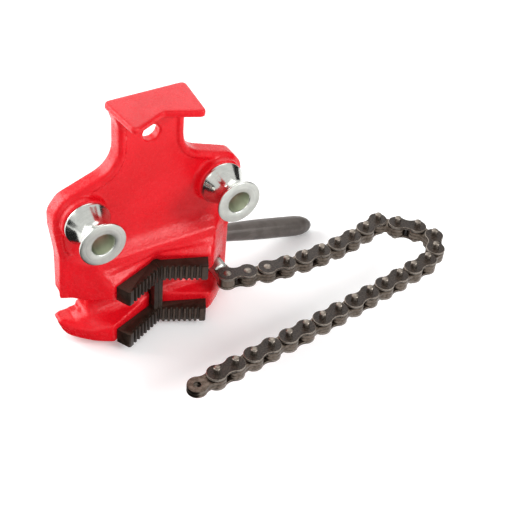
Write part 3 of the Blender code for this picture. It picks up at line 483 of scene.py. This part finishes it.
def softened_copy(name, node, voxel, stretches, material, body):
    """A cast or forged stand-in for a CAD node: remeshed evenly, then smoothed stretch by stretch."""
    mesh = nodes[node].data.copy()
    mesh.materials.clear()
    work = bpy.data.objects.new(name, mesh)
    scene.collection.objects.link(work)
    remesh = work.modifiers.new("even", "REMESH")
    remesh.mode = "VOXEL"
    remesh.voxel_size = voxel * MM
    work.data = applied(work)
    for label, passes, weight in stretches:
        add_smoothing(work, label, passes, weight)
    final = applied(work)
    work.vertex_groups.clear()
    work.data = final
    final.name = name
    for polygon in final.polygons:
        polygon.use_smooth = True
    final.materials.clear()
    final.materials.append(material)
    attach(work, body)
    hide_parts(node)


def fade(value, low, high):
    """A share that rises smoothly from 0 at low to 1 at high."""
    t = min(max((value - low) / (high - low), 0.0), 1.0)
    return t * t * (3 - 2 * t)


# Casting.

def cast_share(co):
    """The whole casting, but hardly near the spools' seats and the screw's bore."""
    bolt = math.hypot(abs(co.x) - BOLT_X, co.z)
    screw = math.hypot(co.x - SCREW_X, co.z - CHAIN_Z)
    seat_limit = max(fade(bolt, *SEAT_BOLT), SEAT_LEAST)
    bore_limit = max(fade(screw, *SCREW_BORE), SCREW_BORE_LEAST)
    return min(seat_limit, bore_limit)


def hollow_share(co):
    """The hollow where the slope above the jaws runs out into the plate, away from the spools."""
    inside = fade(co.z, *HOLLOW_FOOT) * (1 - fade(co.z, *HOLLOW_TOP))
    off_bolt = fade(math.hypot(abs(co.x) - BOLT_X, co.z), *HOLLOW_BOLT)
    return inside * off_bolt * (1 - fade(co.y, *HOLLOW_FRONT)) * (1 - fade(abs(co.x), *HOLLOW_SIDES))


def crest_share(co):
    """The crest of that slope."""
    inside = fade(co.z, *CREST_FOOT) * (1 - fade(co.z, *CREST_TOP))
    return inside * (1 - fade(co.y, *CREST_FRONT))


def flank_share(co):
    """The block's upright corners beside the jaws."""
    return fade(abs(co.x), *FLANK_SIDES) * (1 - fade(co.y, *FLANK_FRONT)) * (1 - fade(co.z, *FLANK_TOP))


cast_stretches = (
    ("soften", CAST_PASSES, cast_share),
    ("hollow", HOLLOW_PASSES, hollow_share),
    ("crest", CREST_PASSES, crest_share),
    ("flank", FLANK_PASSES, flank_share),
)
softened_copy("cast_body", "casting", CAST_VOXEL, cast_stretches, red, "body")


# Jaws and their screws.

for side in ("left", "right"):
    bevelled_copy(f"jaw_{side}_bevelled", f"jaw_{side}", JAW_BEVEL, jaw_brown, "body",
                  smooth=30.0, planar=2.0)
    for level in ("lower", "upper"):
        bevelled_copy(f"screw_{side}_{level}_bevelled", f"jaw_screw_{side}_{level}", SCREW_BEVEL,
                      screw_black, "body")


# Bender spools.

def spool_profile():
    """Radius against depth, from the bore's front edge out, over the waist and back to the spigot."""
    front, back, rim, edge = SPOOL_FRONT, SPOOL_BACK, SPOOL_RIM, SPOOL_EDGE
    spigot_end = back + SPIGOT_LENGTH
    lip = SPOOL_RADIUS - edge * 0.8
    points = [
        (SPOOL_BORE, front + edge * 2),
        (SPOOL_BORE + edge * 0.6, front + edge * 0.7),
        (SPOOL_BORE + edge * 1.8, front),
        (GROOVE_RADIUS - GROOVE_HALF * 2, front),
        (GROOVE_RADIUS - GROOVE_HALF, front),
        (GROOVE_RADIUS, front + GROOVE_DEPTH),
        (GROOVE_RADIUS + GROOVE_HALF, front),
        (GROOVE_RADIUS + GROOVE_HALF * 2, front),
        (SPOOL_RADIUS - edge * 1.6, front),
        (SPOOL_RADIUS - edge * 0.5, front + edge * 0.3),
        (SPOOL_RADIUS, front + edge),
        (SPOOL_RADIUS, front + rim - edge * 0.7),
        (SPOOL_RADIUS - edge * 0.5, front + rim),
    ]
    for k in range(1, SPOOL_STEPS):
        share = k / SPOOL_STEPS
        drawn_in = (lip - SPOOL_WAIST) * math.sin(math.pi * share ** WAIST_POWER)
        points.append((lip - drawn_in, front + rim + (back - front - 2 * rim) * share))
    points += [
        (SPOOL_RADIUS - edge * 0.5, back - rim),
        (SPOOL_RADIUS, back - rim + edge * 0.7),
        (SPOOL_RADIUS, back - edge * 0.8),
        (SPOOL_RADIUS - edge * 0.6, back - edge * 0.1),
        (SPIGOT_RADIUS, back),
        (SPIGOT_RADIUS, spigot_end - edge * 0.8),
        (SPIGOT_RADIUS - edge * 0.8, spigot_end),
        (SPOOL_BORE, spigot_end),
    ]
    return points


for x, name in ((-BOLT_X, "left"), (BOLT_X, "right")):
    bm = bmesh.new()
    lathe(bm, spool_profile(), SPOOL_SIDES, lambda across, up, y: Vector((x + across, y, up)), closed=True)
    make_piece(f"spool_{name}_turned", bm, [spool_zinc], "body", [f"bender_spool_{name}"])


# Chain links.

def link_loop(inset):
    """Outline of a link plate round two pins, with a smooth waist, drawn in by an inset."""
    points = []
    radius = PLATE_HALF_WIDE - inset
    lean = math.radians(PLATE_LEAN)
    for centre, side in ((PITCH, 1), (0.0, -1)):
        first = -side * math.pi / 2 - lean
        for k in range(PLATE_END_STEPS + 1):
            angle = first + (math.pi + lean * 2) * k / PLATE_END_STEPS
            points.append(Vector((centre + radius * math.cos(angle), radius * math.sin(angle))))
        here = points[-1]
        there = Vector((PITCH - here.x, here.y))
        waist = side * (PLATE_WAIST - inset)
        for k in range(1, PLATE_WAIST_STEPS):
            t = k / PLATE_WAIST_STEPS
            bow = 1 - (2 * t - 1) ** 2
            flat = here.lerp(there, t)
            points.append(Vector((flat.x, flat.y + (waist - flat.y) * bow)))
    return points


def plate(bm, low, high, edge, move, holed=False, rim_material=0):
    """A stamped link plate with rounded edges, and with a hole at each pin if holed."""
    levels = ((low, edge + LEDGE), (low, edge), (low + edge * 0.3, edge * 0.3), (low + edge, 0.0),
              (high - edge, 0.0), (high - edge * 0.3, edge * 0.3), (high, edge), (high, edge + LEDGE))
    rounded_steps = (1, 2, 4, 5)
    walls = [[[move @ Vector((p.x, p.y, level)) for p in link_loop(inset)] for level, inset in levels]]
    for centre in (0.0, PITCH) if holed else ():
        walls.append([[move @ Vector((centre + across, up, level))
                       for across, up in circle(HOLE_RADIUS + inset * HOLE_EDGE_SHARE, HOLE_SIDES)]
                      for level, inset in levels])
    rims = ([], [])
    for wall in walls:
        rings = [[bm.verts.new(point) for point in ring] for ring in wall]
        count = len(rings[0])
        for step, (below, above) in enumerate(zip(rings, rings[1:])):
            for k in range(count):
                j = (k + 1) % count
                face = bm.faces.new((below[k], below[j], above[j], above[k]))
                if step in rounded_steps:
                    face.material_index = rim_material
        for rim, ring in zip(rims, (rings[0], rings[-1])):
            rim.extend(bm.edges.get((ring[k - 1], ring[k])) for k in range(count))
    for rim in rims:
        bmesh.ops.triangle_fill(bm, edges=rim, use_beauty=True, use_dissolve=False)


def pin(bm, x, reach, riveted, move, material):
    """A chain pin, its ends chamfered, or upset into low rivet heads."""
    tip, foot = (RIVET_DOME, RIVET_RADIUS) if riveted else (PIN_CHAMFER, PIN_RADIUS)
    end = [(radius, reach - drop) for radius, drop in tip] + [(foot, OUTER_REACH)]
    profile = [(radius, -along) for radius, along in end] + end[::-1]
    lathe(bm, profile, PIN_SIDES, lambda across, up, z: move @ Vector((x + across, up, z)),
          material=material)


def inner_link(number, body, move):
    """Two leaves on the pins of their neighbours."""
    bm = bmesh.new()
    for low, high in ((-LEAF_REACH, -LEAF_INSIDE), (LEAF_INSIDE, LEAF_REACH)):
        plate(bm, low, high, LEAF_EDGE, move, holed=True)
    make_piece(f"leaf_pack_{number:02d}", bm, [leaf_brown], body,
               [f"chain_leaf_pack_{number:02d}"])


def outer_link(number, body, move):
    """Two plates riveted on two pins. The chain's first pins are short, and the others stand out."""
    bm = bmesh.new()
    for low, high in ((-OUTER_REACH, -OUTER_INSIDE), (OUTER_INSIDE, OUTER_REACH)):
        # The rounded rims take the third material, bare steel with a painted highlight.
        plate(bm, low, high, OUTER_EDGE, move, rim_material=2)
    for end, x in enumerate((0.0, PITCH)):
        riveted = (number - 1) * 2 + end < SHORT_PINS
        pin(bm, x, SHORT_PIN_REACH if riveted else LONG_PIN_REACH, riveted, move, 1)
    make_piece(f"outer_link_{number:02d}", bm, [plate_dark, pin_bright, rim_bare_steel_and_highlight], body,
               [f"chain_outer_link_{number:02d}"])


def chain():
    """Every link of the chain, along the turns that it lies in."""
    here = Matrix.Translation((SCREW_X, EYE_Y, CHAIN_Z))
    heading = 0.0
    for index, turn in enumerate(FIRST_TURNS + [LAST_TURN] * (LINKS - len(FIRST_TURNS))):
        heading += turn
        turned = Matrix.Rotation(math.radians(heading), 4, "Z")
        make_link = inner_link if index % 2 else outer_link
        make_link(index // 2 + 1, f"link_{index + 1:02d}", here @ turned)
        here = here @ Matrix.Translation(turned @ Vector((PITCH, 0, 0)))


chain()


# Chain screw, nut and pins.

screw = bevelled_copy("chain_screw_plated", "chain_screw", SCREW_BEVEL, screw_zinc, "screw",
                      segments=1, smooth=30.0)
# Painted shade: the screw's eye between the first link's plates takes the dark leaf brown.
screw.data.materials.append(leaf_brown)
for polygon in screw.data.polygons:
    if polygon.center.y < (EYE_Y + EYE_PAINTED_SHADE_REACH) * MM:
        polygon.material_index = 1
bevelled_copy("stop_pin_rounded", "stop_pin", PIN_BEVEL, pin_bright, "screw")
bevelled_copy("guide_pin_rounded", "guide_pin", PIN_BEVEL, pin_bright, "body")
bevelled_copy("thrust_washer_rounded", "thrust_washer", WASHER_BEVEL, screw_zinc, "body")
all_over = (("soften", HANDLE_PASSES, lambda co: 1.0),)
softened_copy("handle_forged", "handle_nut", HANDLE_VOXEL, all_over, forged, "handle")


# Camera, at the photograph's place: front left, above, slightly rolled.

def aim(obj, azimuth, elevation, roll):
    """Turn an object to look along a direction given in degrees, then roll it."""
    a, e, r = (math.radians(v) for v in (azimuth, elevation, roll))
    right = Vector((math.cos(a), math.sin(a), 0))
    up = Vector((-math.sin(a) * math.sin(e), math.cos(a) * math.sin(e), math.cos(e)))
    back = Vector((math.sin(a) * math.cos(e), -math.cos(a) * math.cos(e), math.sin(e)))
    side = right * math.cos(r) + up * math.sin(r)
    top = up * math.cos(r) - right * math.sin(r)
    obj.matrix_world = Matrix.Translation(obj.location) @ Matrix((
        (side.x, top.x, back.x, 0), (side.y, top.y, back.y, 0), (side.z, top.z, back.z, 0), (0, 0, 0, 1)))


camera_data = bpy.data.cameras.new("camera")
camera_data.sensor_width = CAMERA_FILM
camera_data.lens = CAMERA_LENS
camera_data.clip_start = CAMERA_NEAR
camera_data.clip_end = CAMERA_FAR
camera = bpy.data.objects.new("camera", camera_data)
camera.location = CAMERA_PLACE
scene.collection.objects.link(camera)
aim(camera, CAMERA_AZIMUTH, CAMERA_ELEVATION, CAMERA_ROLL)
scene.camera = camera


# Floor, world and lamps.

def shown(tree):
    """One for rays from the camera, off gloss or through glass, and zero for the light on the object."""
    path = add(tree, "ShaderNodeLightPath")
    seen = maths(tree, "MAXIMUM", path.outputs["Is Camera Ray"], path.outputs["Is Glossy Ray"])
    return maths(tree, "MAXIMUM", seen, path.outputs["Is Transmission Ray"])


def make_floor():
    """A plain pale floor under the vise, white to the camera and keeping the soft shadow."""
    bm = bmesh.new()
    bmesh.ops.create_grid(bm, x_segments=1, y_segments=1, size=FLOOR_HALF)
    mesh = bpy.data.meshes.new("floor")
    bm.to_mesh(mesh)
    bm.free()
    floor = bpy.data.objects.new("floor", mesh)
    floor.location = (0, 0, cad_box[0][2] - FLOOR_DROP)
    scene.collection.objects.link(floor)
    material, tree, surface = shader("pale_floor")
    tone = noise(tree, place(tree), 90.0, 2.0)
    colour = blend_colour(tree, tone, (0.95, 0.95, 0.95), (0.97, 0.97, 0.97))
    finish(tree, surface, colour, roughness=0.75, metallic=0.0, gloss=0.1)
    surface.inputs["Emission Color"].default_value = (1.0, 1.0, 1.0, 1.0)
    glow = span(tree, shown(tree), 0.0, 1.0, 0.0, FLOOR_GLOW, False)
    tree.links.new(glow, surface.inputs["Emission Strength"])
    mesh.materials.append(material)


def make_world():
    """Plain white light all round, pure white where it is seen."""
    world = bpy.data.worlds.new("studio")
    scene.world = world
    world.use_nodes = True
    tree = world.node_tree
    background = tree.nodes["Background"]
    strength = span(tree, shown(tree), 0.0, 1.0, WORLD_LIGHT, WORLD_SHOWN, False)
    tree.links.new(strength, background.inputs["Strength"])
    background.inputs["Color"].default_value = (1.0, 1.0, 1.0, 1.0)


def lamp(name, where, target, size, power):
    """A soft square lamp that looks at a point."""
    data = bpy.data.lights.new(name, "AREA")
    data.shape = "SQUARE"
    data.size = size
    data.energy = power
    obj = bpy.data.objects.new(name, data)
    obj.location = where
    obj.rotation_euler = (Vector(target) - Vector(where)).to_track_quat("-Z", "Y").to_euler()
    scene.collection.objects.link(obj)


def card(name, corners):
    """A dark studio card that only reflections see, for contrast in the plated steel."""
    bm = bmesh.new()
    bm.faces.new([bm.verts.new(corner) for corner in corners])
    mesh = bpy.data.meshes.new(name)
    bm.to_mesh(mesh)
    bm.free()
    piece = bpy.data.objects.new(name, mesh)
    scene.collection.objects.link(piece)
    material, tree, surface = shader(name)
    tone = noise(tree, place(tree), 200.0, 1.0)
    colour = blend_colour(tree, tone, (0.010, 0.010, 0.010), (0.016, 0.016, 0.016))
    finish(tree, surface, colour, roughness=0.9, metallic=0.0, gloss=0.0)
    mesh.materials.append(material)
    piece.visible_camera = False
    piece.visible_diffuse = False
    piece.visible_shadow = False


def upright_card(name, x, front, back, top):
    """A card that stands beside the vise, square to X."""
    card(name, ((x, front, CARD_LOW), (x, back, CARD_LOW), (x, back, top), (x, front, top)))


make_floor()
make_world()
lamp("key", (0.65, -1.0, 0.65), (0.0, -0.03, -0.03), size=0.4, power=9.0)
lamp("fill", (-0.8, -1.0, 0.6), (0.0, -0.05, -0.05), size=0.8, power=3.5)
lamp("back", (0.48, 0.95, 0.85), (0.02, -0.03, 0.0), size=1.0, power=4.2)
lamp("rim", (-0.71, 0.85, 0.42), (-0.03, -0.02, 0.0), size=0.9, power=15.0)
upright_card("dark_card_right", 0.9, -1.1, 0.55, CARD_RIGHT_TOP)
upright_card("dark_card_left", -0.8, -0.55, -0.05, CARD_LEFT_TOP)
lying = cad_box[0][2] + CARD_LIFT
card("dark_card_low",
     ((-0.55, -0.55, lying), (0.0, -0.55, lying), (-0.04, 0.045, lying), (-0.55, 0.045, lying)))

scene.view_settings.view_transform = "Standard"
